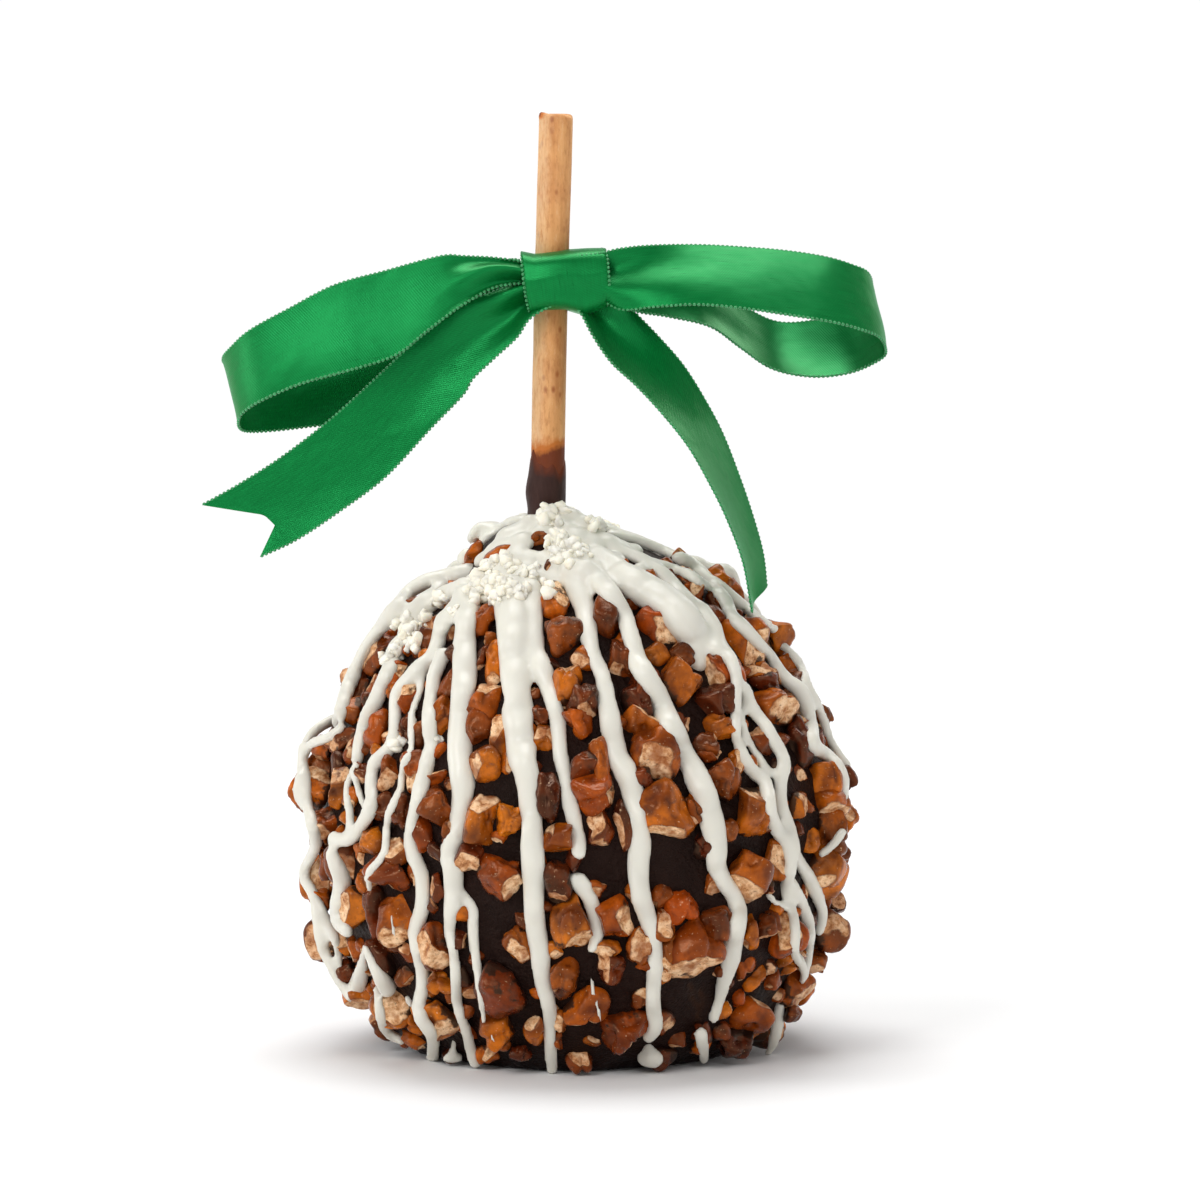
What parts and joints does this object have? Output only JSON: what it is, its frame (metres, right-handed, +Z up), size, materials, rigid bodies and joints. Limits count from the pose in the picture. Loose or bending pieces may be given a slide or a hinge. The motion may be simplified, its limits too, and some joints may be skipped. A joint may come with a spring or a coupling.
{
  "type": "caramel apple",
  "caption": "Round coated apple rolled in chopped pecans with white drizzle, standing on a flat foot, with an upright wooden stick tied with a satin ribbon bow.",
  "frame": {"origin": "centre of the flat foot that the apple stands on", "axes": "+Z up along the stick, -Y towards the side that the bow faces, +X to the right of someone looking at the bow"},
  "size_m": [0.1276, 0.1014, 0.1752],
  "materials": {
    "nut_coat": null,
    "birch": "plain smooth unvarnished dowel",
    "satin": "shiny single-face satin ribbon with stitched edges"
  },
  "bodies": {
    "root": {"coated_apple": "nut_coat", "stick": "birch", "ribbon_bow": "satin"}
  },
  "joints": []
}
